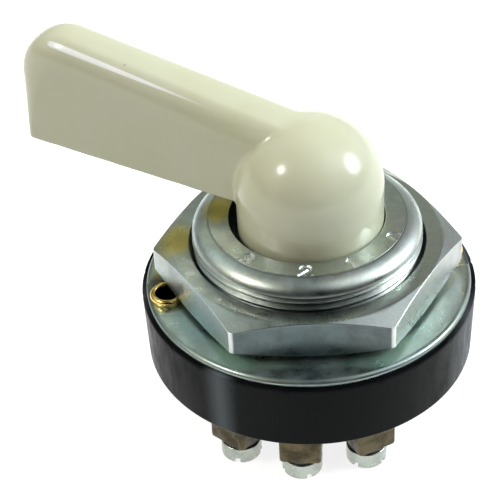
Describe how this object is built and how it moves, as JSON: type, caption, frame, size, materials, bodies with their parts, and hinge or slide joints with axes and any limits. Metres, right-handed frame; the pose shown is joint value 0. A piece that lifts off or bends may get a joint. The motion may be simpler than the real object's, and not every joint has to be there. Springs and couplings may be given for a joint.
{
  "type": "battery switch",
  "caption": "Panel-mounted rotary battery switch: a moulded lever on a spindle, a threaded bushing with a hexagonal nut, a round housing and screw terminals underneath.",
  "frame": {"origin": "on the spindle's axis, at the cover plate's top face, where the panel seats", "axes": "+Z along the spindle, out of the panel towards the lever; X through the two tubular rivets"},
  "size_m": [0.076, 0.067, 0.0695],
  "materials": {
    "ivory_moulding": "smooth ivory thermoset, lightly polished",
    "zinc_plating": "turned metal, zinc plated, worn bright at its edges",
    "zinc_sheet": "pressed sheet, zinc plated, with faint tints",
    "rivet_brass": "bright rolled brass",
    "black_moulding": "black phenolic moulding, satin",
    "terminal_brass": "dull tarnished brass",
    "screw_nickel": "bright nickel plating",
    "spring_steel": "plain steel",
    "brown_laminate": "brown phenolic laminate",
    "seal_rubber": "black nitrile rubber",
    "contact_copper": "bright copper alloy"
  },
  "bodies": {
    "base": {"threaded_bushing": "zinc_plating", "spindle_seal": "seal_rubber", "wave_washer": "spring_steel", "cover_plate": "zinc_sheet", "rivet_left": "rivet_brass", "rivet_right": "rivet_brass", "housing": "black_moulding", "insulating_disc": "brown_laminate", "index_ring": "spring_steel", "common_ring": "contact_copper", "fixed_contact_1": "contact_copper", "fixed_contact_2": "contact_copper", "fixed_contact_3": "contact_copper", "terminal_1": "terminal_brass", "terminal_2": "terminal_brass", "terminal_3": "terminal_brass", "terminal_common": "terminal_brass", "terminal_screw_1": "screw_nickel", "terminal_screw_2": "screw_nickel", "terminal_screw_3": "screw_nickel", "terminal_screw_common": "screw_nickel", "lock_washer_1": "screw_nickel", "lock_washer_2": "screw_nickel", "lock_washer_3": "screw_nickel", "lock_washer_common": "screw_nickel"},
    "lever": {"lever_handle": "ivory_moulding", "lever_grub_screw": "spring_steel", "spindle": "spring_steel", "retaining_clip": "spring_steel", "rotor": "brown_laminate", "index_spring_a": "spring_steel", "index_spring_b": "spring_steel", "contact_spring": "spring_steel", "contact_bridge": "contact_copper"},
    "ball_a": {"index_ball_a": "spring_steel"},
    "ball_b": {"index_ball_b": "spring_steel"},
    "nut": {"hex_nut": "zinc_plating"}
  },
  "joints": [
    {"name": "lever_turn", "type": "hinge", "parent": "base", "child": "lever", "pos_m": [0, 0, 0], "axis": [0, 0, -1], "range_deg": [0, 105]},
    {"name": "nut_spin", "type": "hinge", "parent": "base", "child": "nut", "pos_m": [0, 0, 0], "axis": [0, 0, 1], "continuous": true},
    {"name": "ball_a_slide", "type": "slide", "parent": "lever", "child": "ball_a", "axis": [-0.6088, -0.7934, 0], "range_m": [0, 0.0006], "stiffness_N_per_m": 120, "springref_m": 0.003},
    {"name": "ball_b_slide", "type": "slide", "parent": "lever", "child": "ball_b", "axis": [0.6088, 0.7934, 0], "range_m": [0, 0.0006], "stiffness_N_per_m": 120, "springref_m": 0.003}
  ]
}
